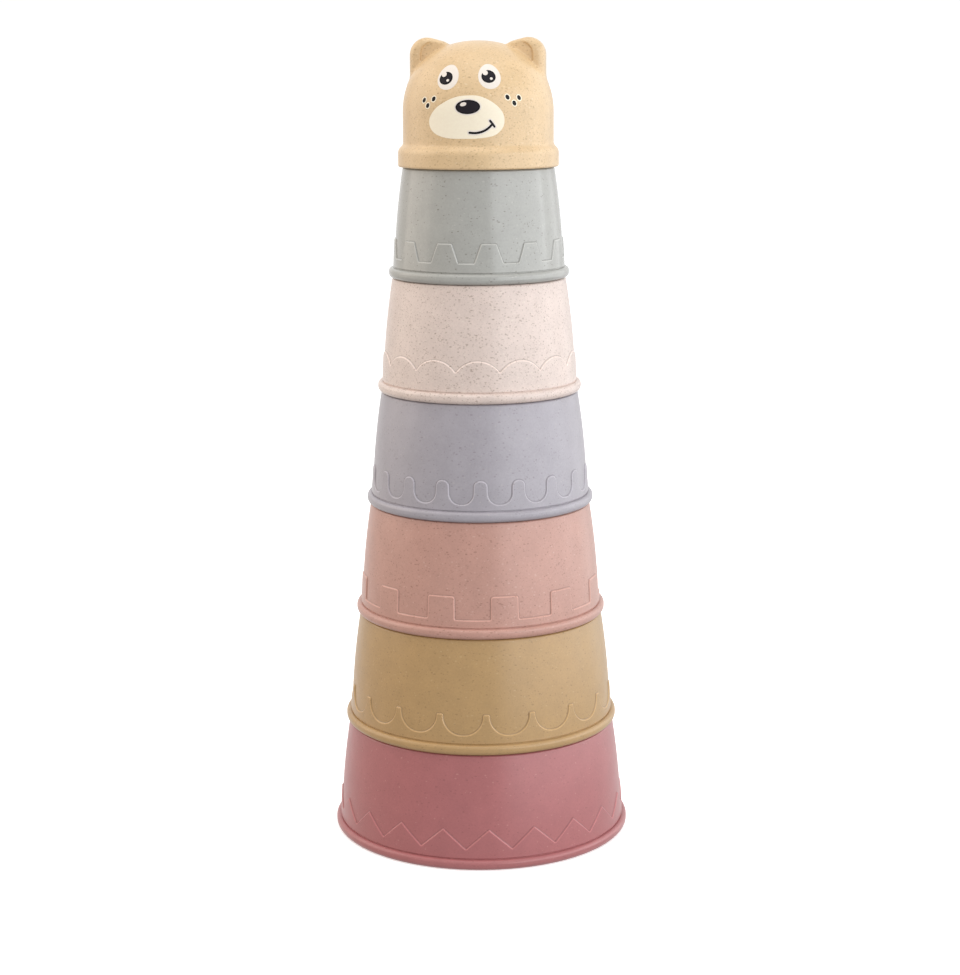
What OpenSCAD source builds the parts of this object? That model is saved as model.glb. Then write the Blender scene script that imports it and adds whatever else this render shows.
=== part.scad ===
// Stacking cup tower: six upside-down nesting cups and a bear-head cup on top.
// Millimetres, +Z up. The origin is the centre of the bottom cup's rim, on the table.
// The bear looks towards -Y.

/* [Tower] */
// Outer diameter of the bottom cup across its rim bead
rim_d = 102.2; // [100:0.1:104]
// How much less each next cup measures across its rim
rim_step = 8.32; // [8:0.02:8.6]
// Height that each plain cup adds to the tower
rise = 38.35; // [36:0.05:41]
// Height that the grey cup, under the bear, adds to the tower
top_rise = 36.65; // [36:0.05:41]

/* [Cup wall] */
// Thickness of the moulded wall
wall = 1.8; // [1.4:0.1:2]
// How far the wall stands inside the rim bead at the mouth
rim_overhang = 1.75; // [1.6:0.05:2]
// Radius of the long upright arc that the wall follows
bow = 262; // [240:2:340]
// Height of the rim bead
bead_h = 3.5; // [3.3:0.1:4]
// Rounding of the bead's upper edge
bead_round = 1.45; // [1.2:0.05:1.5]
// Rounding of the bead's lower edge
foot_round = 1.7; // [1:0.1:1.8]
// Rounding of the shoulder that the next cup rests on
shoulder_round = 0.8; // [0.4:0.1:1]

/* [Neck] */
// Height of the narrow neck that reaches up into the next cup
neck_h = 16.6; // [12:0.2:18]
// Gap all round between a neck and the mouth it stands in
fit_gap = 0.5; // [0.3:0.05:0.7]
// Rounding of the neck's top edge
neck_round = 1.4; // [0.6:0.1:1.8]
// Width of the ring that a cup stands on when its mouth is up
ring_w = 3.4; // [2.5:0.1:5]
// Depth of the recess inside that ring
recess = 0.8; // [0.4:0.1:1.2]

/* [Pattern band] */
// Height of the patterned band's highest points above the rim
band_top = 13.65; // [13:0.05:15]
// How far the band stands out from the wall
band_proud = 0.4; // [0.3:0.05:0.6]

/* [Bear] */
// Outer diameter of the bear's collar
collar_d = 53.5; // [53:0.1:54.5]
// Height of the collar
collar_h = 7.3; // [6.5:0.1:8.5]
// Outer diameter of the head
head_d = 50.06; // [49.5:0.02:50.6]
// Height at which the head starts to round in
dome_from = 17.5; // [17:0.1:19]
// Height of the rounded crown
dome_h = 23.5; // [22:0.1:25]
// Squareness of the crown: 2 is an ellipse
dome_power = 2.15; // [2:0.05:2.4]
// Radius of an ear's rounded top
ear_r = 5.7; // [5:0.1:6.2]
// Distance of an ear's highest point from the tower's axis
ear_x = 16.8; // [16:0.1:17.2]
// Height of the centre of that rounding above the bear's rim
ear_z = 36.3; // [35:0.1:36.8]
// Thickness of an ear, front to back
ear_t = 8; // [6:0.2:9]
// Turn of the bear about the tower's axis, in degrees
bear_turn = -8.2; // [-180:0.1:180]

/* [Hidden] */
$fn = 96;

CUPS = 6;
BOW_BELOW = 5;          // the wall's arc stands upright this far below the rim
SEAT_GAP = 0.1;         // play between a shoulder and the rim that rests on it
MOUTH_CHAMFER = 0.5;    // break on the mouth's inner edge
NECK_DRAFT = 0.35;      // how much narrower the grey cup's neck is at its top
BORE_DRAFT = 0.2;       // how much wider the bear's bore is at its mouth
LITTLE = 0.02;          // keeps two cut surfaces from lying in one plane
COLLAR_FOOT = 0.6;      // rounding of the collar's lower edge
COLLAR_ROUND = 2.8;     // rounding of the collar's upper edge, which the head cuts short
EAR_FOOT = 12;          // how far an ear's upright sides reach down into the head
EAR_RUN = [3.4, 0.9];   // how far an ear's top runs in towards the crown, and how far it drops
EAR_STEPS = 16;
DISH = [14.5, 36.5];    // centre of the hollow in an ear's front
DISH_R = 4;
DISH_RUN = [1.5, 0.4];
DISH_DEEP = 0.7;        // depth of that hollow
TIP = 0.25;             // half of the flat at the top of a pointed tooth
GATE_R = 1.5;           // moulding gate mark in the middle of the base
GATE_H = 0.4;
WALL_STEPS = 9;
ARC_STEPS = 5;
DOME_STEPS = 22;

// Teeth round the band, and the turn of one tooth from the front, for each cup
TEETH = [20, 18, 12, 18, 14, 12];
TEETH_TURN = [2.9, 2.2, 11.3, 0.3, -1, 6.6];
// Height of the lowest points between the teeth, above the rim
TEETH_LOW = [6.85, 6.6, 6.4, 5.8, 10.1, 6.9];
// Half the width of one tooth, at its top and at its root
CUSP = [1, 1.2];
MERLON = [4.6, 4.7];
FINGER = [2.15, 2.5];
CASTLE = [2.5, 4.75];

head_r = head_d / 2;
collar_r = collar_d / 2;
bear_bore_r = head_r - wall;
bear_mouth_r = bear_bore_r + BORE_DRAFT;

// The shape of one cup, counted from 0 at the bottom
function rim_r(i) = (rim_d - i * rim_step) / 2;
function rise_of(i) = i == CUPS - 1 ? top_rise : rise;
function base_z(i) = i < CUPS ? i * rise : (CUPS - 1) * rise + top_rise;
function wall_r(i, h) = rim_r(i) - rim_overhang - pow(h + BOW_BELOW, 2) / (2 * bow);
function shoulder_h(i) = rise_of(i) - SEAT_GAP;
function full_h(i) = rise_of(i) + neck_h;

// A neck keeps fit_gap to the inside of the cup above it
function bore_r(i, h) = i < CUPS ? wall_r(i, h) - wall : bear_bore_r;
function neck_low_r(i) = bore_r(i + 1, 0) - fit_gap;
function neck_top_r(i) = bore_r(i + 1, neck_h) - fit_gap - (i == CUPS - 1 ? NECK_DRAFT : 0);

// Points of an arc from angle a to angle b about [x, y]
function arc(x, y, r, a, b, steps = ARC_STEPS) =
    [for (k = [0 : steps]) let (t = a + (b - a) * k / steps) [x + r * cos(t), y + r * sin(t)]];

// The corner at b between a and c, rounded to radius r
function rounded(a, b, c, r) =
    let (
        u = (a - b) / norm(a - b),
        v = (c - b) / norm(c - b),
        half = acos(u * v) / 2,
        centre = b + (u + v) / norm(u + v) * r / sin(half),
        from = b + u * r / tan(half) - centre,
        to = b + v * r / tan(half) - centre,
        a0 = atan2(from[1], from[0]),
        turn = atan2(to[1], to[0]) - a0,
        short = turn > 180 ? turn - 360 : turn < -180 ? turn + 360 : turn
    )
    arc(centre[0], centre[1], r, a0, a0 + short);

// Outline of half a gap between two teeth, from its middle to the top of a tooth.
// half is half the distance between two teeth.
function zigzag(half, low) = [[0, low], [half - TIP, band_top]];
function square_gap(half, low, tooth) =
    [[0, low], [half - tooth[1], low], [half - tooth[0], band_top]];
function scallop(half, low) =
    let (gap = square_gap(half, low, CUSP))
    concat([gap[0]], rounded(gap[0], gap[1], gap[2], gap[1][0] * 0.97), [gap[2]]);
function finger(half, low) =
    let (gap = square_gap(half, low, FINGER))
    concat(
        [gap[0]],
        rounded(gap[0], gap[1], gap[2], gap[1][0] * 0.95),
        rounded(gap[1], gap[2], [half, band_top], 2 - TIP)
    );
function cloud(half, low) =
    let (high = band_top - low, lean = 2 * atan(high / half), r = half / sin(lean))
    arc(half, band_top - r, r, 90 + lean, 90 + asin(TIP / r));

function half_gap(i, half, low) =
    i == 0 ? zigzag(half, low) :
    i == 1 ? scallop(half, low) :
    i == 2 ? square_gap(half, low, MERLON) :
    i == 3 ? finger(half, low) :
    i == 4 ? cloud(half, low) :
    square_gap(half, low, CASTLE);

// Points along the wall from one height to another, inset from its outer face
function wall_line(i, from, to, inset) =
    [for (k = [0 : WALL_STEPS])
        let (h = from + (to - from) * k / WALL_STEPS)
        [wall_r(i, h) - inset, h]];

// Outline of one cup, turned about the Z axis: the outside up, then the inside down
function cup_outline(i) =
    let (
        rim = rim_r(i),
        seat = shoulder_h(i),
        top = full_h(i),
        neck_low = neck_low_r(i),
        neck_top = neck_top_r(i),
        shoulder = wall_r(i, seat),
        floor_h = top - recess - wall
    )
    concat(
        [[bore_r(i, 0) + MOUTH_CHAMFER, 0]],
        arc(rim - foot_round, foot_round, foot_round, -90, 0),
        arc(rim - bead_round, bead_h - bead_round, bead_round, 0, 90),
        wall_line(i, bead_h, seat - shoulder_round, 0),
        arc(shoulder - shoulder_round, seat - shoulder_round, shoulder_round, 5, 90),
        [[neck_low, seat]],
        arc(neck_top - neck_round, top - neck_round, neck_round, 0, 90),
        [[neck_top - ring_w, top], [neck_top - ring_w - recess, top - recess]],
        [[GATE_R, top - recess], [GATE_R - GATE_H, top - recess + GATE_H], [0, top - recess + GATE_H]],
        [[0, floor_h], [neck_top - wall, floor_h], [neck_low - wall, seat - wall]],
        wall_line(i, seat - wall, MOUTH_CHAMFER, wall)
    );

// The raised band above the rim bead, cut to its pattern
module pattern_band(i) {
    count = TEETH[i];
    low = TEETH_LOW[i];
    ring_top = band_top - LITTLE;
    face_r = wall_r(i, band_top) + band_proud;
    root_r = wall_r(i, band_top) - wall / 2;
    half = face_r * tan(180 / count);
    gap = half_gap(i, half, low);
    back = [for (k = [len(gap) - 1 : -1 : 1]) [-gap[k][0], gap[k][1]]];
    tooth_x = gap[len(gap) - 1][0];
    difference() {
        rotate_extrude()
            polygon([
                [wall_r(i, 0) - wall / 2, bead_h / 2],
                [wall_r(i, bead_h) + band_proud, bead_h / 2],
                [wall_r(i, bead_h) + band_proud, bead_h],
                [wall_r(i, band_top / 2) + band_proud, band_top / 2],
                [face_r, ring_top],
                [root_r, ring_top]
            ]);
        for (k = [0 : count - 1])
            rotate([0, 0, TEETH_TURN[i] + (k + 0.5) * 360 / count])
                translate([0, wall / 2 - root_r, 0])
                    rotate([90, 0, 0])
                        linear_extrude(4 * wall)
                            polygon(concat(back, gap, [[tooth_x, band_top + 1], [-tooth_x, band_top + 1]]));
    }
}

module plain_cup(i) {
    translate([0, 0, base_z(i)]) {
        rotate_extrude()
            polygon(cup_outline(i));
        pattern_band(i);
    }
}

module rose_cup() {
    color("#b9686d") plain_cup(0);
}

module mustard_cup() {
    color("#bd9c6a") plain_cup(1);
}

module pink_cup() {
    color("#d8a29a") plain_cup(2);
}

module lavender_cup() {
    color("#b9b5bf") plain_cup(3);
}

module cream_cup() {
    color("#ead9d1") plain_cup(4);
}

module grey_cup() {
    color("#b1b9b2") plain_cup(5);
}

// Points up a crown of radius r and height high, closer together near its top
function crown(r, high) =
    [for (k = [0 : DOME_STEPS])
        let (up = sin(90 * k / DOME_STEPS))
        [r * pow(1 - pow(up, dome_power), 1 / dome_power), dome_from + high * up]];

// Outline of the head's outside, without the ears
function head_outline() =
    concat(
        [[0, 0]],
        arc(collar_r - COLLAR_FOOT, COLLAR_FOOT, COLLAR_FOOT, -90, 0),
        arc(collar_r - COLLAR_ROUND, collar_h - COLLAR_ROUND, COLLAR_ROUND, 0, 50),
        [[head_r, collar_h]],
        crown(head_r, dome_h)
    );

// Outline of a lobe at [x, z]: its round top runs in towards the crown, and its sides are upright
function lobe(x, z, r, run) =
    let (lean = 90 + atan(run[1] / run[0]))
    concat(
        [[x + r, z - EAR_FOOT]],
        arc(x, z, r, 0, lean, EAR_STEPS),
        arc(x - run[0], z - run[1], r, lean, 180, EAR_STEPS),
        [[x - run[0] - r, z - EAR_FOOT]]
    );

// An outline on one side of the head made solid, from front to front + thick in Y
module slab(side, outline, front, thick) {
    translate([0, front + thick, 0])
        rotate([90, 0, 0])
            linear_extrude(thick)
                polygon([for (p = outline) [side * p[0], p[1]]]);
}

// One ear, with a shallow hollow in its front
module ear(side) {
    difference() {
        slab(side, lobe(ear_x, ear_z, ear_r, EAR_RUN), -ear_t / 2, ear_t);
        slab(side, lobe(DISH[0], DISH[1], DISH_R, DISH_RUN), -ear_t / 2 - 1, DISH_DEEP + 1);
    }
}

module bear_cup() {
    color("#dcb98d")
        translate([0, 0, base_z(CUPS)])
            rotate([0, 0, bear_turn])
                difference() {
                    union() {
                        rotate_extrude()
                            polygon(head_outline());
                        ear(-1);
                        ear(1);
                    }
                    rotate_extrude()
                        polygon(concat(
                            [[0, -1], [bear_mouth_r + MOUTH_CHAMFER + 1, -1]],
                            [[bear_mouth_r, MOUTH_CHAMFER]],
                            crown(bear_bore_r, dome_h - wall)
                        ));
                }
}

rose_cup();
mustard_cup();
pink_cup();
lavender_cup();
cream_cup();
grey_cup();
bear_cup();
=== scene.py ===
"""Looks of a stacking cup tower: six banded cups, a bear-head cup with a printed face, and a studio.

Shapes are worked out in millimetres, in the row frame, and scaled to metres when a mesh is made.
Angles round the tower are in degrees from the front, -Y, and grow towards +X.
"""

import math

import bpy
import numpy as np
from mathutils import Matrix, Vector
from mathutils.geometry import delaunay_2d_cdt


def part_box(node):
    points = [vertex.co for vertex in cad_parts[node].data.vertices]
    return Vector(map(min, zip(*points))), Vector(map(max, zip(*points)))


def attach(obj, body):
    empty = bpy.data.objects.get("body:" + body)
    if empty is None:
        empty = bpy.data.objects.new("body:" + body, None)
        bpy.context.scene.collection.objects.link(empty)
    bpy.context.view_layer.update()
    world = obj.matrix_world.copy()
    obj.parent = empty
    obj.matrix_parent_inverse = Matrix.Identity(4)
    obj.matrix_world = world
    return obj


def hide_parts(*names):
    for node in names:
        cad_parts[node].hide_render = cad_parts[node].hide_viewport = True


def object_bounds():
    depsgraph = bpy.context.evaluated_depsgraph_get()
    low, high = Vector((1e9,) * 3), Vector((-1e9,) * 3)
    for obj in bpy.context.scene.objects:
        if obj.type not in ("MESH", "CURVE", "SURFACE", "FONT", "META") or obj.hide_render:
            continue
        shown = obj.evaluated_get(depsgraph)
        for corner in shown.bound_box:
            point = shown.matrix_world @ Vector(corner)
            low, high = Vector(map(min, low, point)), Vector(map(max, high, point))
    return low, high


MM = 0.001

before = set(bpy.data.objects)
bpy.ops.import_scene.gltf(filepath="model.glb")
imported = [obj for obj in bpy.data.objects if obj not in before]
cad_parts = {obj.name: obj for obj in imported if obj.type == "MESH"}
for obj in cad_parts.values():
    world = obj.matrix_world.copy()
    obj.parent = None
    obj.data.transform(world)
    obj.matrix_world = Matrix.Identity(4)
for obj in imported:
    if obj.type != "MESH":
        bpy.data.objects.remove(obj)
cad_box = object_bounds()

# ---------------------------------------------------------------- sizes, in millimetres

WALL = 1.8              # thickness of the moulded wall
RIM_OVERHANG = 1.75     # how far the wall stands inside the rim bead at the mouth
BOW = 262.0             # radius of the long upright arc that the wall follows
BOW_BELOW = 5.0         # that arc stands upright this far below the rim
BEAD_H = 3.5            # height of the rim bead
BEAD_ROUND = 1.3        # rounding of the bead's upper edge
CREASE_DEEP = 0.28      # depth of the crease between the bead and the band
CREASE_H = 0.32
CREASE_RISE = 0.1       # height over which the crease's upper side comes out to the band
CREASE_ROUND = 0.08
FOOT_ROUND = 1.7        # rounding of the bead's lower edge
MOUTH_ROUND = 0.5       # rounding of the mouth's inner edge
INNER_ROUND = 1.2       # rounding of the corners inside a cup
SHOULDER_ROUND = 0.8    # rounding of the shoulder, and of the edge inside it
SEAT_GAP = 0.1          # play between a shoulder and the rim that rests on it
FIT_GAP = 0.5           # gap between a neck and the mouth it stands in
NECK_H = 16.6
NECK_DRAFT = 0.35       # how much narrower the grey cup's neck is at its top
NECK_ROUND = 1.4
NECK_FOOT = 0.5         # rounding between a neck and its shoulder
RING_W = 3.4            # width of the ring that a cup stands on when its mouth is up
RING_ROUND = 0.4
RECESS = 0.8
GATE_R = 1.5            # moulding gate mark, and the roundings at its foot and its top
GATE_H = 0.4
GATE_ROUND = (0.15, 0.1)
BAND_PROUD = 0.4        # how far the patterned band stands out
BAND_START = 4.3        # the band's mesh runs from here
BAND_END = 15.2         # to here, above the rim
LEDGE = 0.27            # half the width of the band's rounded edge
EDGE_W = 0.38           # reach of the painted highlight and painted shade lines along that edge
BEAR_TURN = -8.2        # the bear's turn, in degrees
COLLAR_STEP = 1.72      # how far the collar stands out from the head
COLLAR_H = 7.3
COLLAR_ROUND = 2.8      # rounding of the collar's upper edge
COLLAR_FOOT = 0.6       # rounding of its lower edge
DOME_FROM = 17.5        # the head starts to round in here, above its rim
DOME_H = 23.5
DOME_POWER = 2.15       # squareness of the crown
EAR_R = 5.7             # rounding of an ear's top, and its centre
EAR_X = 16.8
EAR_Z = 36.29           # a hair low, so that the ears' tips stay inside the frame's box
EAR_RUN = (3.4, 0.9)    # how far an ear's top runs in towards the crown, and how far it drops
EAR_T = 8.0             # thickness of an ear, front to back
EAR_ROUND = 2.6         # rounding of an ear's front and back edges
EAR_BLEND = 0.8         # how softly an ear runs into the crown
DISH_R = 4.0            # the hollow in an ear's front
DISH_X = 14.5
DISH_Z = 36.5
DISH_RUN = (1.5, 0.4)
DISH_DEEP = 0.7
DISH_ROUND = 0.3        # rounding of the hollow's floor, and how softly its edge runs out
DISH_BLEND = 0.6
COLLAR_BLEND = 0.9      # how softly the collar runs into the head
MOUTH_BLEND = 0.5       # and how softly the inside meets the rim
INK = 0.025             # thickness of one layer of print

# ---------------------------------------------------------------- mesh fineness, in millimetres

WALL_POINTS = 10        # rings along a wall's long arc
EDGE_ROWS = 5           # rows of vertices across the band's rounded edge
LINE_STEP = 0.8         # longest step along a pattern's edge
LINE_ARC = 0.4          # and on its roundings
ROW_STEP = 0.87         # height of a row in an even triangular grid, as a share of its spacing
BAND_CELL = 1.1         # spacing of the grid on a band, and its least distance from the pattern's edge
BAND_CLEAR = 0.5
PRINT_CELL = 0.9        # the same on the printed shapes
PRINT_CLEAR = 0.4
HEAD_CELL = 0.45
OFF_GRID = (0.013, 0.017)       # keep the head's upright and level faces off the net's own planes

# Each cup: teeth round its band, turn of one tooth, lowest and highest points of the pattern, mesh
# columns from tooth to tooth, and the corners of half a gap, from its middle to the top of a tooth.
# In a corner list, h is half the distance between two teeth, lo and hi are those heights, and each
# corner has a rounding.
CUPS = {
    "rose": dict(teeth=20, turn=2.9, low=6.85, high=13.65, columns=14,
                 gap=lambda h, lo, hi: [(0, lo, 0.45), (h, hi, 0.45)]),
    "mustard": dict(teeth=18, turn=2.2, low=6.6, high=13.6, columns=16,
                    gap=lambda h, lo, hi: [(0, lo, 0), (h - 1.2, lo, 0.97 * (h - 1.2)),
                                           (h - 1.05, hi, 0.45), (h, hi, 0)]),
    "pink": dict(teeth=12, turn=11.3, low=6.4, high=14.2, columns=24,
                 gap=lambda h, lo, hi: [(0, lo, 0), (h - 4.7, lo, 0.5), (h - 4.6, hi, 0.9), (h, hi, 0)]),
    "lavender": dict(teeth=18, turn=0.3, low=5.8, high=13.65, columns=16,
                     gap=lambda h, lo, hi: [(0, lo, 0), (h - 2.4, lo, 0.95 * (h - 2.4)),
                                            (h - 2.15, hi, 2.0), (h, hi, 0)]),
    "cream": dict(teeth=14, turn=-1.0, low=10.1, high=14.0, columns=20,
                  gap=lambda h, lo, hi: cloud(h, lo, hi)),
    "grey": dict(teeth=12, turn=6.6, low=6.9, high=13.15, columns=24,
                 gap=lambda h, lo, hi: [(0, lo, 0), (h - 4.75, lo, 0.5), (h - 2.5, hi, 0.5), (h, hi, 0)]),
}
NAMES = list(CUPS)
CUSP_ROUND = 0.4        # rounding where two of the cream cup's arcs meet
CUSP_REACH = 0.7        # length of arc that it takes up


# ---------------------------------------------------------------- small geometry helpers

def unit(v):
    return v / np.linalg.norm(v)


def rounded_path(corners, step=14.0, longest=9.0):
    """Points and normals along an outline of (x, y, radius) corners. Normals are on the path's right.

    step is the most degrees, and longest the most mm, between two points of a rounding.
    """
    pts = [np.array(c[:2], float) for c in corners]
    path, normals = [], []

    def right_of(a, b):
        d = unit(b - a)
        return np.array([d[1], -d[0]])

    for k, here in enumerate(pts):
        radius = corners[k][2]
        if k in (0, len(pts) - 1):
            a, b = (pts[0], pts[1]) if k == 0 else (pts[-2], pts[-1])
            path.append(here)
            normals.append(right_of(a, b))
            continue
        u = unit(pts[k - 1] - here)
        v = unit(pts[k + 1] - here)
        if radius == 0:
            path.append(here)
            normals.append(unit(right_of(pts[k - 1], here) + right_of(here, pts[k + 1])))
            continue
        half = math.acos(np.clip(u @ v, -1, 1)) / 2
        centre = here + unit(u + v) * radius / math.sin(half)
        start = here + u * radius / math.tan(half) - centre
        side = -math.copysign(1, u[0] * v[1] - u[1] * v[0])
        sweep = math.pi - 2 * half
        steps = max(2, math.ceil(math.degrees(sweep) / step), math.ceil(radius * sweep / longest))
        for t in np.linspace(0, side * sweep, steps + 1):
            e = np.array([start[0] * math.cos(t) - start[1] * math.sin(t),
                          start[0] * math.sin(t) + start[1] * math.cos(t)])
            path.append(centre + e)
            normals.append(side * e / radius)
    return np.array(path), np.array(normals)


def split_long(path, normals, longest):
    """The same line, with no stretch longer than this."""
    points, arrows = [path[0]], [normals[0]]
    for a, b, n, m in zip(path, path[1:], normals, normals[1:]):
        parts = math.ceil(np.linalg.norm(b - a) / longest)
        for s in np.linspace(0, 1, parts + 1)[1:]:
            points.append(a + (b - a) * s)
            arrows.append(unit(n + (m - n) * s))
    return np.array(points), np.array(arrows)


def round_tower(radius, angle, height):
    """Points at these radii, angles from the front in degrees, and heights."""
    a = np.radians(angle)
    return np.stack(np.broadcast_arrays(radius * np.sin(a), -radius * np.cos(a), height), -1)


class Shell:
    """Gathers vertices, their normals and faces, then makes one mesh object."""

    def __init__(self):
        self.points, self.normals, self.edges, self.faces, self.count = [], [], [], [], 0

    def add(self, points, normals, edge=0.0):
        """Adds vertices and returns their numbers, in the shape of the points given.

        edge is painted light: 1 paints a highlight where a moulded edge stands out, and -1 paints shade in
        the crease at its foot.
        """
        points = np.asarray(points, float)
        shape = points.shape[:-1]
        points = points.reshape(-1, 3)
        self.points.append(points)
        self.normals.append(np.broadcast_to(normals, shape + (3,)).reshape(-1, 3))
        self.edges.append(np.broadcast_to(edge, shape).ravel())
        numbers = np.arange(self.count, self.count + len(points)).reshape(shape)
        self.count += len(points)
        return numbers

    def join(self, low, high):
        """Quads, or a fan where one ring is a single vertex, between two rings that go round."""
        if low.size == 1 or high.size == 1:
            ring = high if low.size == 1 else low
            tip = np.full(ring.size, (low if low.size == 1 else high).ravel()[0])
            nxt = np.roll(ring, -1)
            fan = [tip, nxt, ring] if low.size == 1 else [ring, nxt, tip]
            self.faces += np.stack(fan, -1).tolist()
            return
        a, b = low, high
        self.faces += np.stack([a, np.roll(a, -1), np.roll(b, -1), b], -1).tolist()

    def turned(self, path, normals, angles):
        """Rings round the axis for each point of a path. Returns the list of rings."""
        rings = []
        for (r, z), (nr, nz) in zip(path, normals):
            if r < 1e-9:
                rings.append(self.add([(0, 0, z)], (0, 0, nz)))
                continue
            rings.append(self.add(round_tower(r, angles, z), round_tower(nr, angles, nz)))
        for low, high in zip(rings, rings[1:]):
            self.join(low, high)
        return rings

    def build(self, name, material):
        mesh = bpy.data.meshes.new(name)
        points = np.concatenate(self.points)
        mesh.from_pydata((points * MM).tolist(), [], self.faces)
        mesh.validate()
        mesh.polygons.foreach_set("use_smooth", [True] * len(mesh.polygons))
        normals = np.concatenate(self.normals)
        normals = normals / np.linalg.norm(normals, axis=1, keepdims=True)
        mesh.normals_split_custom_set_from_vertices(normals.tolist())
        # painted highlight and painted shade along the band's moulded edges, which the plastic's colour
        # reads
        edge = mesh.attributes.new("edge", "FLOAT", "POINT")
        edge.data.foreach_set("value", np.concatenate(self.edges).astype(np.float32))
        mesh.materials.append(material)
        piece = bpy.data.objects.new(name, mesh)
        bpy.context.scene.collection.objects.link(piece)
        return piece


# ---------------------------------------------------------------- the banded cups

def size_of(name):
    """Radius of a cup's rim, its lowest point and its height, from the frame."""
    low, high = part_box(name + "_cup")
    return (high.x - low.x) / 2 / MM, low.z / MM, (high.z - low.z) / MM


SIZES = [size_of(name) for name in NAMES + ["bear"]]
COLLAR_R, BEAR_BASE, BEAR_H = SIZES[-1]
HEAD_R = COLLAR_R - COLLAR_STEP


def wall_r(i, h):
    """Radius of cup i's outer wall at a height above its rim."""
    return SIZES[i][0] - RIM_OVERHANG - (h + BOW_BELOW) ** 2 / (2 * BOW)


def bore_r(i, h):
    if i < len(NAMES):
        return wall_r(i, h) - WALL
    return HEAD_R - WALL


def wall_points(i, start, end, inset):
    return [(wall_r(i, h) - inset, h, 0) for h in np.linspace(start, end, WALL_POINTS)]


def cup_profile(i):
    """Corner lists of cup i: from the middle of its inside to the band, and from the band to its top."""
    rim, base, top = SIZES[i]
    seat = SIZES[i + 1][1] - base - SEAT_GAP
    draft = NECK_DRAFT if i == len(NAMES) - 1 else 0
    neck_low = bore_r(i + 1, 0) - FIT_GAP
    neck_top = bore_r(i + 1, NECK_H) - FIT_GAP - draft
    floor_h = top - RECESS - WALL
    inner = [(0, floor_h, 0), (neck_top - WALL, floor_h, INNER_ROUND),
             (neck_low - WALL, seat - WALL, SHOULDER_ROUND),
             (bore_r(i, seat - WALL), seat - WALL, INNER_ROUND)]
    inner += wall_points(i, seat - 2 * WALL, 1, WALL)
    band = wall_r(i, BEAD_H) + BAND_PROUD
    crease_top = BEAD_H + CREASE_H
    inner += [(bore_r(i, 0), 0, MOUTH_ROUND), (rim, 0, FOOT_ROUND), (rim, BEAD_H, BEAD_ROUND),
              (band - CREASE_DEEP, BEAD_H, CREASE_ROUND), (band - CREASE_DEEP, crease_top, CREASE_ROUND),
              (band, crease_top + CREASE_RISE, CREASE_ROUND),
              (wall_r(i, BAND_START) + BAND_PROUD, BAND_START, 0)]
    outer = wall_points(i, BAND_END, seat - 1.5 * SHOULDER_ROUND, 0)
    ring_in = neck_top - RING_W
    low_top = top - RECESS
    outer += [(wall_r(i, seat), seat, SHOULDER_ROUND), (neck_low, seat, NECK_FOOT),
              (neck_top, top, NECK_ROUND), (ring_in, top, RING_ROUND),
              (ring_in - RECESS, low_top, RING_ROUND), (GATE_R, low_top, GATE_ROUND[0]),
              (GATE_R - GATE_H, low_top + GATE_H, GATE_ROUND[1]), (0, low_top + GATE_H, 0)]
    return inner, outer


def cloud(half, low, high):
    """Corners of half a gap between two arcs that meet in a cusp."""
    lean = 2 * math.atan((high - low) / half)
    r = half / math.sin(lean)
    turns = np.linspace(lean - CUSP_REACH / r, 0, 16)
    return [(0, low, CUSP_ROUND)] + [(half - r * math.sin(a), high - r + r * math.cos(a), 0) for a in turns]


def pattern_line(cup, half):
    """Points and normals along the pattern's edge, over two teeth each way from a gap's middle."""
    corners = cup["gap"](half, cup["low"], cup["high"])
    right = corners + [(2 * half - x, y, r) for x, y, r in corners[-2::-1]]
    line = [(-x, y, r) for x, y, r in right[:0:-1]] + right
    path, normals = rounded_path(line, longest=LINE_ARC)
    return split_long(path, normals, LINE_STEP)


def cut_at(line, edge):
    """A line of (u, ...) rows cut at u = -edge and u = +edge, with its ends exactly there."""
    inside = np.flatnonzero(np.abs(line[:, 0]) < edge - 1e-6)
    first, last = inside[0], inside[-1]

    def at(a, b, u):
        row = a + (b - a) * (u - a[0]) / (b[0] - a[0])
        row[0] = u
        return row

    start = at(line[first - 1], line[first], -edge)
    end = at(line[last], line[last + 1], edge)
    return np.vstack([start, line[first:last + 1], end])


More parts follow.
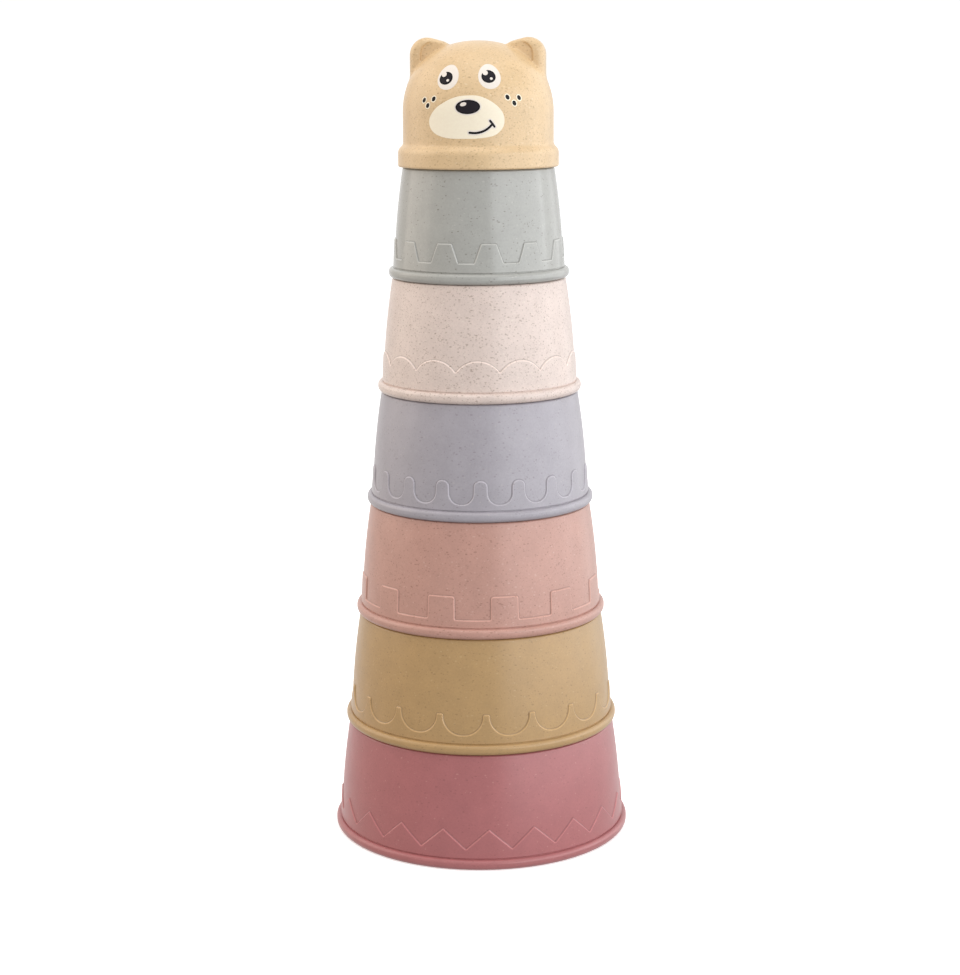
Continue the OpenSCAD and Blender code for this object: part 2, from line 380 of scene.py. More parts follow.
def band_tooth(i):
    """One tooth to tooth piece of cup i's band: points (u, t, stand, lean_u, lean_t, edge) and triangles.

    u runs round the cup in mm from a gap's middle and t is the height above the rim. stand says how
    far out the surface is, from 0 on the wall to 1 on the band, the lean is its slope, and edge is as
    in Shell.add.
    """
    cup = CUPS[NAMES[i]]
    half = (wall_r(i, cup["high"]) + BAND_PROUD) * math.pi / cup["teeth"]
    path, normals = pattern_line(cup, half)
    rows, links = [], []

    def add(block, linked):
        first = sum(len(b) for b in rows)
        rows.append(np.array(block, float))
        if linked:
            links.extend((k, k + 1) for k in range(first, first + len(block) - 1))

    for d in (-EDGE_W, *np.linspace(-LEDGE, LEDGE, EDGE_ROWS), EDGE_W):
        turn = math.pi / 2 * np.clip(d / LEDGE, -1, 1)
        slope = BAND_PROUD * math.pi / (4 * LEDGE) * math.cos(turn)
        # painted light: a highlight on the edge's rounded top, shade in the crease at its foot, none at the
        # rows' far ends
        tint = 0 if abs(d) == EDGE_W else -math.sin(turn)
        flat = np.column_stack([path - normals * d, np.full(len(path), 0.5 - 0.5 * math.sin(turn)),
                                -normals * slope, np.full(len(path), tint)])
        add(cut_at(flat, half), True)
    edge = cut_at(np.column_stack([path, normals]), half)
    for t, stand in ((BAND_START, 1), (BAND_END, 0)):
        add([(u, t, stand, 0, 0, 0) for u in np.linspace(-half, half, cup["columns"] + 1)], True)
    for row, t in enumerate(np.arange(BAND_START + 0.6, BAND_END - 0.3, BAND_CELL * ROW_STEP)):
        shift = BAND_CELL / 2 * (row % 2)
        inner = np.arange(-half + BAND_CELL * 0.6 + shift, half - BAND_CELL * 0.5, BAND_CELL)
        for u in [-half, *inner, half]:
            if np.min(np.hypot(edge[:, 0] - u, edge[:, 1] - t)) > BAND_CLEAR:
                add([(u, t, float(below(edge, u, t)), 0, 0, 0)], False)
    points = np.vstack(rows)
    flat = [Vector((float(u), float(t))) for u, t in points[:, :2]]
    done = delaunay_2d_cdt(flat, links, [], 0, 1e-5)
    if len(done[0]) != len(points):
        raise ValueError(f"band of cup {i}: {len(points)} points became {len(done[0])}")
    return half, points, [tuple(face) for face in done[2]]


def below(edge, u, t):
    """Whether (u, t) lies under the pattern's edge, on the band."""
    side = np.argmin(np.hypot(edge[:, 0] - u, edge[:, 1] - t))
    return (edge[side, :2] - (u, t)) @ edge[side, 2:4] < 0


def build_cup(i, material):
    """One banded cup as a closed mesh: turned rings below and above, and the toothed band between."""
    cup = CUPS[NAMES[i]]
    inner, outer = cup_profile(i)
    base = np.array([0, 0, SIZES[i][1]])
    across = cup["columns"]
    total = cup["teeth"] * across
    angles = cup["turn"] + np.arange(total) * 360 / total
    shell = Shell()
    low_ring = shell.turned(*rounded_path(inner), angles)[-1]
    high_ring = shell.turned(*rounded_path(outer), angles)[0]

    half, points, triangles = band_tooth(i)
    # edge here is the painted highlight and painted shade of each point
    u, t, stand, lean_u, lean_t, edge = points.T
    radius = wall_r(i, t) + BAND_PROUD * stand
    wall_lean = (t + BOW_BELOW) / BOW
    left = np.flatnonzero(u == -half)
    left = left[np.argsort(t[left])]
    right = np.flatnonzero(u == half)
    right = right[np.argsort(t[right])]
    own = np.flatnonzero((u < half) & (t > BAND_START) & (t < BAND_END))
    feet = np.flatnonzero(t == BAND_START)
    heads = np.flatnonzero(t == BAND_END)
    ids = np.zeros((cup["teeth"], len(points)), int)
    for k in range(cup["teeth"]):
        angle = cup["turn"] + (k + 0.5) * 360 / cup["teeth"] + u * 180 / (half * cup["teeth"])
        out = round_tower(1, angle, wall_lean + lean_t)
        along = round_tower(1, angle + 90, 0) * lean_u[:, None]
        ids[k, own] = shell.add(round_tower(radius, angle, t)[own], (out + along)[own], edge[own])
        for row, ring in ((feet, low_ring), (heads, high_ring)):
            order = row[np.argsort(u[row])]
            ids[k, order] = ring[(k * across + np.arange(across + 1)) % total]
    inside = (t[left] > BAND_START) & (t[left] < BAND_END)
    ids[:, right[inside]] = np.roll(ids[:, left[inside]], -1, axis=0)
    corners = np.array(triangles)
    for k in range(cup["teeth"]):
        shell.faces += ids[k][corners].tolist()
    shell.points = [np.concatenate(shell.points) + base]
    piece = shell.build(NAMES[i] + "_moulding", material)
    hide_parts(NAMES[i] + "_cup")
    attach(piece, NAMES[i])
    return piece


# ---------------------------------------------------------------- the bear's head

def smooth_min(a, b, k):
    """The smaller of two distances, with the change from one to the other rounded over k."""
    h = np.maximum(k - np.abs(a - b), 0) / k
    return np.minimum(a, b) - h * h * k / 4


def crown_distance(r, t, radius, height):
    """Distance, near the surface, to a cylinder that rounds in to a crown above DOME_FROM."""
    a = np.maximum(t - DOME_FROM, 0) / height
    b = r / radius
    s = np.maximum((b ** DOME_POWER + a ** DOME_POWER) ** (1 / DOME_POWER), 0.01)
    across = b ** (DOME_POWER - 1) / radius
    up = a ** (DOME_POWER - 1) / height
    return (s - 1) / np.maximum(np.hypot(across, up) * s ** (1 - DOME_POWER), 0.001)


def rounded_edge(a, b, edge):
    """Distance to where two faces at distances a and b meet, with a rounded edge."""
    a, b = a + edge, b + edge
    return np.minimum(np.maximum(a, b), 0) + np.hypot(np.maximum(a, 0), np.maximum(b, 0)) - edge


def lobe_distance(x, t, centre, top, radius, run):
    """Distance, seen from the front, to a lobe with upright sides and a round top that runs inwards."""
    along = ((centre - x) * run[0] + (top - t) * run[1]) / (run[0] ** 2 + run[1] ** 2)
    along = np.clip(along, 0, 1)
    near_x, near_t = centre - along * run[0], top - along * run[1]
    beside = np.maximum(np.maximum(x - centre, centre - run[0] - x), 0)
    return np.where(t > near_t, np.hypot(x - near_x, t - near_t), beside) - radius


def head_distance(p):
    """Distance to the bear's moulding, in its own frame, from points in mm above its rim."""
    x, y, t = p[..., 0], p[..., 1], p[..., 2]
    r = np.hypot(x, y)
    head = crown_distance(r, t, HEAD_R, DOME_H)
    side = np.abs(x)
    lobe = lobe_distance(side, t, EAR_X, EAR_Z, EAR_R, EAR_RUN)
    ear = rounded_edge(lobe, np.abs(y) - EAR_T / 2, EAR_ROUND)
    hollow = lobe_distance(side, t, DISH_X, DISH_Z, DISH_R, DISH_RUN)
    dish = rounded_edge(hollow, y + EAR_T / 2 - DISH_DEEP, DISH_ROUND)
    ear = -smooth_min(-ear, dish, DISH_BLEND)
    head = smooth_min(head, ear, EAR_BLEND)
    edge = np.where(t > COLLAR_H / 2, COLLAR_ROUND, COLLAR_FOOT)
    collar = rounded_edge(r - COLLAR_R, np.abs(t - COLLAR_H / 2) - COLLAR_H / 2, edge)
    solid = np.maximum(smooth_min(head, collar, COLLAR_BLEND), -t)
    cavity = crown_distance(r, t, HEAD_R - WALL, DOME_H - WALL)
    return -smooth_min(-solid, cavity, MOUTH_BLEND)


def slope_of(distance, p, step=0.02):
    """The gradient of a distance at points p."""
    sides = [distance(p + e) - distance(p - e) for e in np.eye(3) * step]
    return np.stack(sides, -1) / (2 * step)


def surface_net(distance, low, high, cell):
    """Points and quads of a closed mesh where distance is 0."""
    axes = [np.arange(a, b + cell, cell) for a, b in zip(low, high)]
    values = distance(np.stack(np.meshgrid(*axes, indexing="ij"), -1))
    shape = np.array(values.shape)
    found, spots, quads = [], [], []
    for axis in range(3):
        first = [slice(None)] * 3
        second = [slice(None)] * 3
        first[axis], second[axis] = slice(None, -1), slice(1, None)
        a, b = values[tuple(first)], values[tuple(second)]
        where = np.argwhere((a < 0) != (b < 0))
        va, vb = a[tuple(where.T)], b[tuple(where.T)]
        spot = where.astype(float)
        spot[:, axis] += va / (va - vb)
        around = []
        for back_b, back_c in ((1, 1), (0, 1), (0, 0), (1, 0)):
            at = where.copy()
            at[:, (axis + 1) % 3] -= back_b
            at[:, (axis + 2) % 3] -= back_c
            around.append(np.ravel_multi_index(tuple(at.T), shape))
        around = np.stack(around, -1)
        quads.append(np.where((va < 0)[:, None], around, around[:, ::-1]))
        found.append(around.ravel())
        spots.append(np.repeat(spot, 4, axis=0))
    cells, which = np.unique(np.concatenate(found), return_inverse=True)
    spots = np.concatenate(spots)
    count = np.bincount(which)
    centre = np.stack([np.bincount(which, spots[:, k]) / count for k in range(3)], -1)
    return centre * cell + low, np.searchsorted(cells, np.concatenate(quads))


def settled(distance, points, quads, cell):
    """The points evened out along the surface and pulled onto it, in a few rounds."""
    ends = np.concatenate([quads, np.roll(quads, -1, axis=1)]).T.reshape(-1)
    starts = np.concatenate([np.roll(quads, -1, axis=1), quads]).T.reshape(-1)
    count = np.bincount(ends, minlength=len(points))[:, None]
    for evening in (0.5, 0.5, 0.4, 0, 0):
        mean = np.stack([np.bincount(ends, points[starts, k], len(points)) for k in range(3)], -1) / count
        slope = slope_of(distance, points)
        slope /= np.maximum(np.linalg.norm(slope, axis=1, keepdims=True), 0.05)
        move = (mean - points) * evening
        move -= slope * np.sum(move * slope, axis=1, keepdims=True)
        points = points + move
        gap = distance(points)[:, None]
        points = points - slope_of(distance, points) * np.clip(gap, -cell, cell)
    return points


def turned_bear(points):
    """Points or arrows of the bear's own frame, turned as it is on the tower."""
    a = math.radians(BEAR_TURN)
    x, y, t = np.asarray(points).T
    turned = [x * math.cos(a) - y * math.sin(a), x * math.sin(a) + y * math.cos(a)]
    return np.stack([*turned, t], -1)


def build_bear(material):
    cell = HEAD_CELL
    reach = COLLAR_R + 2 * cell + OFF_GRID[0]
    points, quads = surface_net(head_distance, np.array([-reach, -reach, -2 * cell + OFF_GRID[1]]),
                                np.array([reach, reach, BEAR_H + 2 * cell]), cell)
    points = settled(head_distance, points, quads, cell)
    shell = Shell()
    shell.add(turned_bear(points) + (0, 0, BEAR_BASE), turned_bear(slope_of(head_distance, points)))
    shell.faces = quads.tolist()
    piece = shell.build("bear_moulding", material)
    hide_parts("bear_cup")
    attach(piece, "bear")
    return piece


# ---------------------------------------------------------------- the printed face

def head_surface(angle, t):
    """Radius of the head, and its normal's outward and upward parts, at heights t above its rim."""
    a = np.clip((t - DOME_FROM) / DOME_H, 0, 1)
    b = (1 - a ** DOME_POWER) ** (1 / DOME_POWER)
    out = b ** (DOME_POWER - 1) / HEAD_R
    up = a ** (DOME_POWER - 1) / DOME_H
    return HEAD_R * b, out / np.hypot(out, up), up / np.hypot(out, up)


def spread(u, v, angle, t):
    """Angles and heights of points (u, v) in mm on the head, measured from a place on it."""
    radius, _, up = head_surface(angle, np.float64(t))
    return np.stack([angle + np.degrees(u / radius), t + v * math.sqrt(1 - up ** 2)], -1)


def oval(wide, high, tilt=0.0, u=0.0, v=0.0, points=48):
    """An ellipse with these half sizes, turned tilt degrees counterclockwise, about (u, v)."""
    a = np.linspace(0, 2 * math.pi, points, endpoint=False)
    x, y = wide * np.cos(a), high * np.sin(a)
    c, s = math.cos(math.radians(tilt)), math.sin(math.radians(tilt))
    return np.stack([u + x * c - y * s, v + x * s + y * c], -1)


def bitten(radius, bite_u, bite_v, bite_r):
    """A disc about (0, 0) with a round bite out of its edge."""
    far = math.hypot(bite_u, bite_v)
    towards = math.atan2(bite_v, bite_u)
    spread_big = math.acos((radius ** 2 + far ** 2 - bite_r ** 2) / (2 * radius * far))
    spread_bite = math.acos((bite_r ** 2 + far ** 2 - radius ** 2) / (2 * bite_r * far))
    big = towards + np.linspace(spread_big, 2 * math.pi - spread_big, 44)
    bite = towards + math.pi + np.linspace(spread_bite, -spread_bite, 16)[1:-1]
    rim = np.stack([np.cos(big), np.sin(big)], -1) * radius
    notch = np.stack([bite_u + bite_r * np.cos(bite), bite_v + bite_r * np.sin(bite)], -1)
    return np.vstack([rim, notch])


def closed_curve(corners, parts=8):
    """A smooth closed line through a few points."""
    pts = np.array(corners, float)
    before, after, beyond = np.roll(pts, 1, 0), np.roll(pts, -1, 0), np.roll(pts, -2, 0)
    line = []
    for a, b, c, d in zip(before, pts, after, beyond):
        for s in np.arange(parts) / parts:
            line.append(0.5 * (2 * b + (c - a) * s + (2 * a - 5 * b + 4 * c - d) * s * s
                               + (3 * b - a - 3 * c + d) * s ** 3))
    return np.array(line)


def stroke(start, middle, end, wide, parts=20):
    """A line of even width with round ends, along a curve from start to end pulled towards middle."""
    a, b, c = (np.array(v, float) for v in (start, middle, end))
    s = np.linspace(0, 1, parts)[:, None]
    line = a * (1 - s) ** 2 + 2 * b * s * (1 - s) + c * s * s
    along = np.gradient(line, axis=0)
    along /= np.linalg.norm(along, axis=1, keepdims=True)
    right = np.stack([along[:, 1], -along[:, 0]], -1) * wide / 2

    def cap(at, side, way):
        turns = np.linspace(0, math.pi, 9)[1:-1, None]
        return at + side * np.cos(turns) + way * np.sin(turns) * wide / 2

    return np.vstack([line + right, cap(line[-1], right[-1], along[-1]),
                      (line - right)[::-1], cap(line[0], -right[0], -along[0])])


def print_shape(name, outline, layer, material):
    """One inked shape on the head: a thin closed shell.

    outline is a list of angles and heights, and layer counts from 0.
    """
    outline = np.asarray(outline, float)
    scale = np.array([math.radians(HEAD_R), 1.0])
    flat = outline * scale
    if np.sum(flat[:, 0] * np.roll(flat[:, 1], -1) - flat[:, 1] * np.roll(flat[:, 0], -1)) < 0:
        outline, flat = outline[::-1], flat[::-1]
    count = len(outline)
    ring = [(k, (k + 1) % count) for k in range(count)]
    inner = []
    low, high = flat.min(0), flat.max(0)
    for row, t in enumerate(np.arange(low[1], high[1], PRINT_CELL * ROW_STEP)):
        for x in np.arange(low[0] + PRINT_CELL / 2 * (row % 2), high[0], PRINT_CELL):
            if np.min(np.hypot(flat[:, 0] - x, flat[:, 1] - t)) > PRINT_CLEAR:
                inner.append((x, t))
    spots = np.vstack([flat, np.array(inner).reshape(-1, 2)])
    corners = [Vector((float(x), float(y))) for x, y in spots]
    done = delaunay_2d_cdt(corners, [], [list(range(count))], 1, 1e-5)
    filled = np.array([(v.x, v.y) for v in done[0]]) / scale
    shell = Shell()
    radius, out, up = head_surface(filled[:, 0], filled[:, 1])
    angle = filled[:, 0]
    normals = round_tower(out, angle, up)
    skin = round_tower(radius, angle, filled[:, 1])
    sides = []
    for depth, sign in (((layer + 1) * INK, 1), (layer * INK - INK / 2, -1)):
        points = turned_bear(skin + normals * depth) + (0, 0, BEAR_BASE)
        sides.append(shell.add(points, turned_bear(normals) * sign))
    top, bottom = sides
    for face in done[2]:
        shell.faces.append([int(top[k]) for k in face])
        shell.faces.append([int(bottom[k]) for k in reversed(face)])
    originals = [tuple(o) for o in done[3]]
    place = {o[0]: k for k, o in enumerate(originals) if o}
    for a, b in ring:
        a, b = place[a], place[b]
        shell.faces.append([int(bottom[a]), int(bottom[b]), int(top[b]), int(top[a])])
    piece = shell.build(name, material)
    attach(piece, "bear")
    return piece


# A place on the head is an angle and a height, and a half size is a half width and a half height in mm
EYES = {                # place of the white's middle, its tilt, and the pupil's distance from it
    "left": dict(angle=-17.5, t=29.2, tilt=0, pupil=(-0.6, -0.35)),
    "right": dict(angle=17.7, t=29.4, tilt=3, pupil=(-0.3, 0.0)),
}
EYE_WHITE = (3.65, 4.5)         # half size
PUPIL_R = 2.3
PUPIL_BITE = (-1.0, 1.35)       # middle of the round bite out of a pupil, and its radius
BITE_R = 0.9
IRIS_INSET = 0.45               # width of the black ring that the iris leaves of the pupil
GLINT = (0.8, -0.8)             # small round glint, from the pupil's middle
GLINT_R = 0.46
FRECKLES = {            # place and tilt
    "left": ((-36.5, 22.0, -35), (-27.2, 22.4, -35), (-32.5, 20.3, -35)),
    "right": ((30.7, 22.9, 30), (40.4, 22.7, 30), (36.0, 21.0, 30)),
}
FRECKLE = (0.66, 0.84)          # half size
MUZZLE = (
    (0, 23.5), (9, 23.3), (18, 21.6), (25, 19.0), (27.7, 16.3), (26.6, 13.4), (20.5, 11.0), (10, 10.05),
    (-4, 9.85), (-16, 10.1), (-25, 11.3), (-30, 13.4), (-30.6, 16.2), (-25, 19.4), (-16, 21.8), (-8, 23.1),
)
NOSE_PLACE = (0.45, 19.9)
NOSE = (4.0, 2.25)              # half size
NOSE_TILT = 2
NOSE_INSET = 0.42
SHINE = (1.05, 0.6)             # half size, tilt and distance of the nose's shine from its middle
SHINE_TILT = 14
SHINE_AT = (-1.45, 0.85)
SMILE = ((1.8, 11.8), (12.0, 11.1), (18.4, 14.4))
SMILE_END = ((16.9, 15.5), (18.2, 14.9), (20.1, 13.7))
SMILE_W = 0.72
HALO = 0.42             # pale edge round the darker prints
FRECKLE_HALO = 0.34


def build_face(white, cream, black, charcoal):
    """The bear's printed face, layer on layer."""
    for side, eye in EYES.items():
        place = (eye["angle"], eye["t"])
        shape = oval(*EYE_WHITE, eye["tilt"])
        print_shape(f"eye_white_{side}", spread(*shape.T, *place), 0, white)
        u, v = eye["pupil"]
        for name, shrink, layer, material in (("pupil", 0, 1, black), ("iris", IRIS_INSET, 2, charcoal)):
            shape = bitten(PUPIL_R - shrink, *PUPIL_BITE, BITE_R + shrink) + (u, v)
            print_shape(f"{name}_{side}", spread(*shape.T, *place), layer, material)
        glint = oval(GLINT_R, GLINT_R, 0, u + GLINT[0], v + GLINT[1], 24)
        print_shape(f"eye_glint_{side}", spread(*glint.T, *place), 3, white)
        freckle_layers = (("freckle_halo", FRECKLE_HALO, 0, "print_muzzle", cream),
                          ("freckle", 0, 1, "print_black", black))
        for k, (angle, t, tilt) in enumerate(FRECKLES[side]):
            for name, grow, layer, slot, material in freckle_layers:
                shape = oval(FRECKLE[0] + grow, FRECKLE[1] + grow, tilt, points=28)
                print_shape(f"{name}_{side}_{k + 1}", spread(*shape.T, angle, t), layer, material)
    print_shape("muzzle", closed_curve(MUZZLE), 0, cream)
    for name, shrink, layer, slot, material in (("nose_halo", -HALO, 1, "print_white", white),
                                                ("nose", 0, 2, "print_black", black),
                                                ("nose_middle", NOSE_INSET, 3, "print_black", charcoal)):
        shape = oval(NOSE[0] - shrink, NOSE[1] - shrink, NOSE_TILT)
        print_shape(name, spread(*shape.T, *NOSE_PLACE), layer, material)
    shine = oval(*SHINE, SHINE_TILT, *SHINE_AT, 28)
    print_shape("nose_shine", spread(*shine.T, *NOSE_PLACE), 4, white)
    for name, grow, layer, slot, material in (("halo", HALO * 2, 1, "print_white", white),
                                              ("line", 0, 2, "print_black", black)):
        for part, curve in (("smile", SMILE), ("smile_end", SMILE_END)):
            flat = [(math.radians(angle) * HEAD_R, t) for angle, t in curve]
            lift = 1 if part == "smile" else 0.5
            shape = stroke(*flat, SMILE_W + grow) / (math.radians(HEAD_R), 1)
            print_shape(f"{part}_{name}", shape, layer - 1 + lift, material)


# ---------------------------------------------------------------- materials

# Lengths are in mm, and noise scales are per mm
GLOSS_SCALE = 0.35      # patches of more and less gloss
GLOSS_SPREAD = (-0.05, 0.06)    # how far the roughness varies
CLOUD_SCALE = 0.16      # wide mottling of the plastic
GRAIN_SCALE = 1.6       # its fine grain
MOTTLE_SPAN = (0.3, 0.7)        # noise levels that give the darkest and the palest plastic
MOTTLE = (0.915, 1.085)         # and the shares of its colour there
EDGE_LIGHT_AND_SHADE = 0.35        # how strong the painted highlight and painted shade along a pattern's edge are
FLECKS = (              # turn, half length and half width of the largest, share and strength of each kind
    ((0.4, 0.2, 0.7), 0.62, 0.3, 0.4, 1.0),
    ((1.1, 0.9, 0.1), 0.42, 0.3, 0.8, 0.9),
    ((0.2, 1.3, 1.9), 0.3, 0.26, 1.2, 0.6),
)
FLECK_REACH = (0.22, 0.42)      # where the smallest and the largest flecks end, in cells
FLECK_EDGE = 11.0       # sharpness of a fleck's edge
PALE_FROM = 0.74        # flecks with a random number above this are pale
GRAIN_BUMP = 0.02       # depth of the plastic's grain, and of the ink's unevenness
INK_BUMP = 0.01
INK_SCALE = 1.1
INK_MOTTLE = (0.94, 1.04)


def add_node(tree, kind, inputs=None, **settings):
    """A node with its settings, its inputs given as numbers or as sockets to join."""
    made = tree.nodes.new(kind)
    for key, value in settings.items():
        setattr(made, key, value)
    for key, value in (inputs or {}).items():
        if isinstance(value, bpy.types.NodeSocket):
            tree.links.new(value, made.inputs[key])
        else:
            made.inputs[key].default_value = value
    return made


def maths(tree, operation, a, b, clamp=False):
    return add_node(tree, "ShaderNodeMath", {0: a, 1: b}, operation=operation, use_clamp=clamp).outputs[0]


def blended(tree, factor, a, b):
    """Colour a turned into colour b by a factor."""
    made = add_node(tree, "ShaderNodeMix", data_type="RGBA")
    for socket, value in ((0, factor), (6, a), (7, b)):
        if isinstance(value, bpy.types.NodeSocket):
            tree.links.new(value, made.inputs[socket])
        else:
            made.inputs[socket].default_value = value
    return made.outputs[2]


def noise(tree, mm, scale, detail):
    """Smooth noise from 0 to 1, with its scale per mm."""
    return add_node(tree, "ShaderNodeTexNoise", {"Vector": mm, "Scale": scale, "Detail": detail}).outputs[0]


def ranged(tree, value, span=(0, 1), to=(0, 1)):
    """A value carried from one span onto another."""
    ends = dict(zip((1, 2, 3, 4), (*span, *to)))
    return add_node(tree, "ShaderNodeMapRange", {0: value, **ends}).outputs[0]


def rgba(colour, gain=1.0):
    """A colour with its alpha, brightened by a gain."""
    return (*[min(c * gain, 1) for c in colour], 1)


def start_material(name, roughness, specular):
    """A new material: its tree, its shader, and coordinates in millimetres."""
    material = bpy.data.materials.new(name)
    material.use_nodes = True
    tree = material.node_tree
    shader = tree.nodes["Principled BSDF"]
    shader.inputs["Specular IOR Level"].default_value = specular
    place = add_node(tree, "ShaderNodeTexCoord").outputs["Object"]
    mm = add_node(tree, "ShaderNodeMapping", {"Vector": place, "Scale": (1 / MM,) * 3}).outputs[0]
    limits = [roughness + change for change in GLOSS_SPREAD]
    rough = ranged(tree, noise(tree, mm, GLOSS_SCALE, 4.0), to=limits)
    tree.links.new(rough, shader.inputs["Roughness"])
    return material, tree, shader, mm


def flecks(tree, mm, turn, long, wide, share):
    """How much of a fleck is at each point, and a random number for each fleck. Sizes in mm."""
    scale = [FLECK_REACH[1] / half for half in (long, wide, wide)]
    laid = add_node(tree, "ShaderNodeMapping", {"Vector": mm, "Rotation": turn, "Scale": scale}).outputs[0]
    cells = add_node(tree, "ShaderNodeTexVoronoi", {"Vector": laid, "Scale": 1.0})
    parts = add_node(tree, "ShaderNodeSeparateColor", {0: cells.outputs["Color"]})
    number = parts.outputs[0]
    reach = ranged(tree, number, (1 - share, 1), FLECK_REACH)
    chosen = maths(tree, "GREATER_THAN", number, 1 - share)
    inside = maths(tree, "SUBTRACT", reach, cells.outputs["Distance"])
    here = maths(tree, "MULTIPLY", inside, FLECK_EDGE, clamp=True)
    return maths(tree, "MULTIPLY", here, chosen), parts.outputs[1]


def plastic(name, colour, dark, pale, share, strength, roughness=0.32):
    """Satin plastic filled with ground straw: soft mottling, fine brown and pale flecks, and painted
    highlight and shade along the band's edges.
    """
    material, tree, shader, mm = start_material(name, roughness, 0.5)
    cloudy = noise(tree, mm, CLOUD_SCALE, 5.0)
    grain = noise(tree, mm, GRAIN_SCALE, 3.0)
    mixed = maths(tree, "ADD", maths(tree, "MULTIPLY", cloudy, 0.5), maths(tree, "MULTIPLY", grain, 0.5))
    base = blended(tree, ranged(tree, mixed, MOTTLE_SPAN), *[rgba(colour, gain) for gain in MOTTLE])
    sunk = 0.0
    for turn, long, wide, part, faint in FLECKS:
        here, number = flecks(tree, mm, turn, long, wide, share * part)
        tint = blended(tree, maths(tree, "GREATER_THAN", number, PALE_FROM), rgba(dark), rgba(pale))
        cover = maths(tree, "MULTIPLY", here, strength * faint)
        base = blended(tree, cover, base, tint)
        sunk = maths(tree, "ADD", cover, sunk)
    # painted highlight on the band's raised edges and painted shade in the creases at their feet: the
    # colour is scaled up and down by the edge attribute
    edge = add_node(tree, "ShaderNodeAttribute", attribute_name="edge").outputs["Fac"]
    shade = maths(tree, "ADD", maths(tree, "MULTIPLY", edge, EDGE_LIGHT_AND_SHADE), 1.0)
    base = add_node(tree, "ShaderNodeVectorMath", {0: base, "Scale": shade}, operation="SCALE").outputs[0]
    tree.links.new(base, shader.inputs["Base Color"])
    fine = maths(tree, "ADD", grain, maths(tree, "MULTIPLY", sunk, -0.5))
    bump = add_node(tree, "ShaderNodeBump", {"Height": fine, "Strength": 0.25, "Distance": GRAIN_BUMP * MM})
    tree.links.new(bump.outputs[0], shader.inputs["Normal"])
    return material


def ink(name, colour, specular=0.4, roughness=0.4):
    """Pad-printed ink, very slightly uneven."""
    material, tree, shader, mm = start_material(name, roughness, specular)
    uneven = noise(tree, mm, INK_SCALE, 4.0)
    base = blended(tree, uneven, *[rgba(colour, gain) for gain in INK_MOTTLE])
    tree.links.new(base, shader.inputs["Base Color"])
    bump = add_node(tree, "ShaderNodeBump", {"Height": uneven, "Strength": 0.2, "Distance": INK_BUMP * MM})
    tree.links.new(bump.outputs[0], shader.inputs["Normal"])
    return material


# Linear colours of the plastic, its dark flecks and its pale flecks, then the share of flecks, their
# strength and, where it isn't the usual one, the roughness
PLASTICS = {
    "rose": ((0.388, 0.129, 0.131), (0.21, 0.07, 0.06), (0.55, 0.27, 0.25), 0.12, 0.4),
    "mustard": ((0.436, 0.271, 0.116), (0.21, 0.12, 0.05), (0.56, 0.40, 0.22), 0.22, 0.42),
    "pink": ((0.507, 0.278, 0.225), (0.23, 0.10, 0.07), (0.64, 0.43, 0.36), 0.32, 0.45),
    "lavender": ((0.370, 0.345, 0.379), (0.18, 0.15, 0.16), (0.50, 0.46, 0.43), 0.18, 0.42),
    "cream": ((0.705, 0.582, 0.524), (0.26, 0.17, 0.12), (0.80, 0.71, 0.62), 0.6, 0.48),
    "grey": ((0.389, 0.386, 0.360), (0.17, 0.16, 0.13), (0.50, 0.49, 0.45), 0.15, 0.55, 0.2),
    "bear": ((0.712, 0.508, 0.286), (0.34, 0.20, 0.09), (0.84, 0.68, 0.47), 0.6, 0.38),
}

for index, cup_name in enumerate(NAMES):
    build_cup(index, plastic(f"{cup_name}_plastic", *PLASTICS[cup_name]))
build_bear(plastic("bear_plastic", *PLASTICS["bear"]))
build_face(ink("ink_white", (0.86, 0.78, 0.70)), ink("ink_cream", (1.0, 0.88, 0.695)),
           ink("ink_black", (0.004, 0.003, 0.005), 0.15), ink("ink_charcoal", (0.013, 0.010, 0.014), 0.15))

# ---------------------------------------------------------------- floor, light and camera

TOWER_H = cad_box[1][2]
FLOOR_REACH = 30.0      # metres
FLOOR_GLOW = 0.45       # light of its own, which keeps the paper white
FIBRE_SCALE = 0.05      # of the paper's unevenness, per mm
PAPER = ((0.90, 0.90, 0.90), (0.93, 0.93, 0.93))
SKY_WHITE = 1.05        # what the camera and reflections see all round
SKY_LEVELS = (0.435, 0.88)      # light on the object from low down and from high up,
SKY_HEIGHTS = (-0.3, 0.5)       # and the directions' heights between which it changes
SKY_WARM = (0.93, 0.88, 0.82)   # tint of the light from the left,
WARM_SIDES = (-0.4, -0.9)       # and the directions' x between which it sets in
LIGHT_FAR = 1.2         # metres from the tower's middle to each softbox
# Direction from the tower's middle, as an azimuth from the front and an elevation, and half the width
# and height that a softbox takes up from there, all in degrees
SOFTBOXES = {
    "key": dict(way=(61, 8), half=(43, 23), radiance=1.6, colour=(0.925, 0.96, 1)),
    "sheen": dict(way=(63, 10), half=(43, 25), radiance=0.9, diffuse=False),
    "side": dict(way=(118, 12), half=(20, 27), radiance=1.1, diffuse=False),
    "fill": dict(way=(-96, 24), half=(25, 27), radiance=1.38, colour=(1, 0.89, 0.79)),
    "top": dict(way=(10, 78), half=(22, 22), radiance=1.1),
}
CAMERA_PLACE = (0, -0.6937, 0.2609)     # metres
CAMERA_DOWN = 11.54     # degrees below level
CAMERA_ROLL = -0.272
CAMERA_LENS = 76.106    # mm, on a sensor of this width
SENSOR_W = 36
CAMERA_FAR = 200.0      # metres, past the floor's corners


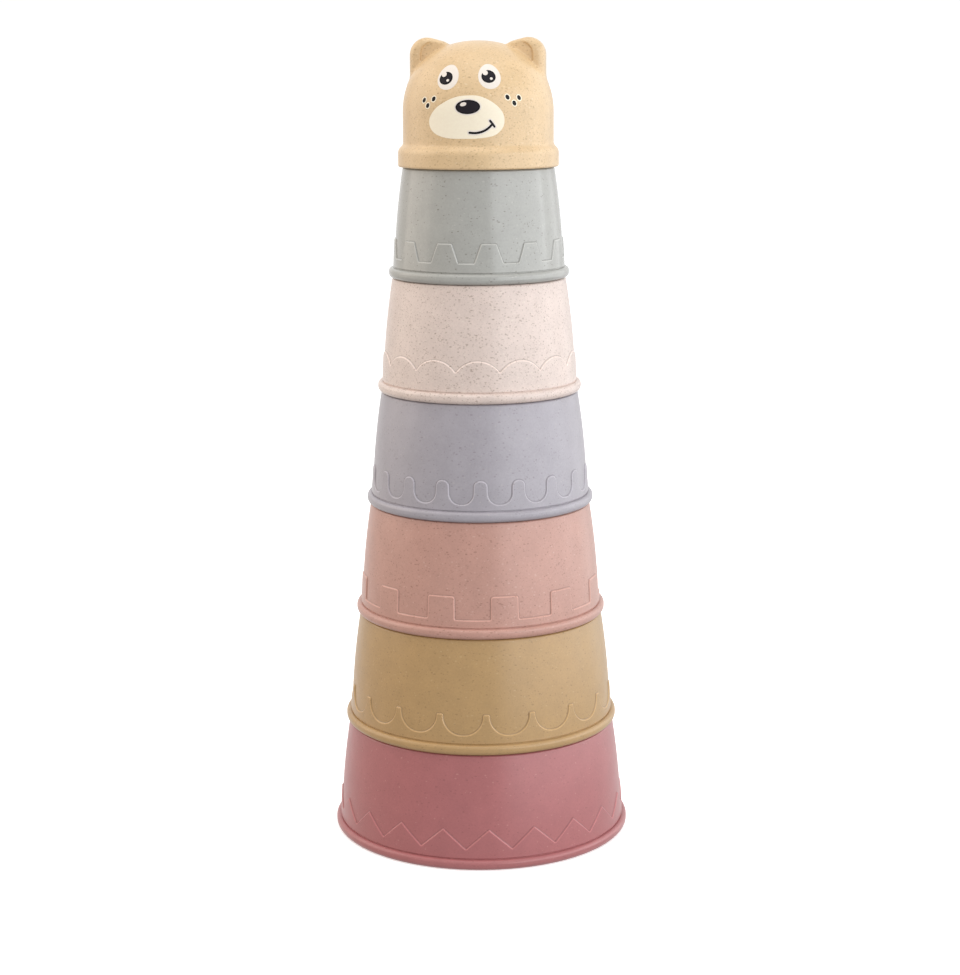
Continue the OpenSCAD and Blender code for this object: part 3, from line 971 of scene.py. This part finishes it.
def make_floor():
    """A plain pale floor, large enough that its edge is never seen."""
    mesh = bpy.data.meshes.new("floor")
    sides = ((-1, -1), (1, -1), (1, 1), (-1, 1))
    mesh.from_pydata([(x * FLOOR_REACH, y * FLOOR_REACH, 0) for x, y in sides], [], [(0, 1, 2, 3)])
    material, tree, shader, mm = start_material("floor_paper", 0.9, 0.1)
    fibre = noise(tree, mm, FIBRE_SCALE, 2.0)
    base = blended(tree, fibre, *[rgba(shade) for shade in PAPER])
    tree.links.new(base, shader.inputs["Base Color"])
    shader.inputs["Emission Color"].default_value = (1, 1, 1, 1)
    shader.inputs["Emission Strength"].default_value = FLOOR_GLOW
    mesh.materials.append(material)
    floor = bpy.data.objects.new("floor", mesh)
    floor.visible_diffuse = False
    floor.visible_glossy = False
    bpy.context.scene.collection.objects.link(floor)


def make_world():
    """White all round for the camera, and a softer light for the object, warmer from the left."""
    world = bpy.data.worlds.new("studio")
    world.use_nodes = True
    bpy.context.scene.world = world
    tree = world.node_tree
    shader = tree.nodes["Background"]
    rays = add_node(tree, "ShaderNodeLightPath").outputs
    white = maths(tree, "MAXIMUM", rays["Is Camera Ray"], rays["Is Glossy Ray"])
    way = add_node(tree, "ShaderNodeTexCoord").outputs["Generated"]
    across, _, height = add_node(tree, "ShaderNodeSeparateXYZ", {0: way}).outputs
    level = ranged(tree, white, to=(ranged(tree, height, SKY_HEIGHTS, SKY_LEVELS), SKY_WHITE))
    left = ranged(tree, across, WARM_SIDES)
    warm = maths(tree, "MULTIPLY", left, maths(tree, "SUBTRACT", 1.0, rays["Is Camera Ray"]))
    tree.links.new(blended(tree, warm, rgba((1, 1, 1)), rgba(SKY_WARM)), shader.inputs["Color"])
    tree.links.new(level, shader.inputs["Strength"])


def softbox(name, way, half, radiance, colour=(1, 1, 1), diffuse=True):
    """A softbox facing the tower's middle. Without diffuse it shows only as gloss."""
    around, above = math.radians(way[0]), math.radians(way[1])
    way = Vector((math.sin(around) * math.cos(above), -math.cos(around) * math.cos(above), math.sin(above)))
    data = bpy.data.lights.new(name, "AREA")
    data.shape = "RECTANGLE"
    data.size, data.size_y = (2 * LIGHT_FAR * math.tan(math.radians(angle)) for angle in half)
    data.energy = radiance * math.pi * data.size * data.size_y
    data.color = colour
    light = bpy.data.objects.new(name, data)
    light.location = Vector((0, 0, TOWER_H / 2)) + way * LIGHT_FAR
    light.rotation_euler = (-way).to_track_quat("-Z", "Y").to_euler()
    light.visible_camera = False
    light.visible_diffuse = diffuse
    bpy.context.scene.collection.objects.link(light)


def make_camera():
    data = bpy.data.cameras.new("camera")
    data.lens = CAMERA_LENS
    data.sensor_width = SENSOR_W
    data.clip_end = CAMERA_FAR
    camera = bpy.data.objects.new("camera", data)
    camera.location = CAMERA_PLACE
    camera.rotation_mode = "ZYX"
    camera.rotation_euler = (math.radians(90 - CAMERA_DOWN), 0, math.radians(CAMERA_ROLL))
    bpy.context.scene.collection.objects.link(camera)
    bpy.context.scene.camera = camera


make_floor()
make_world()
for light_name, light_facts in SOFTBOXES.items():
    softbox(light_name, **light_facts)
make_camera()
bpy.context.scene.view_settings.view_transform = "Standard"
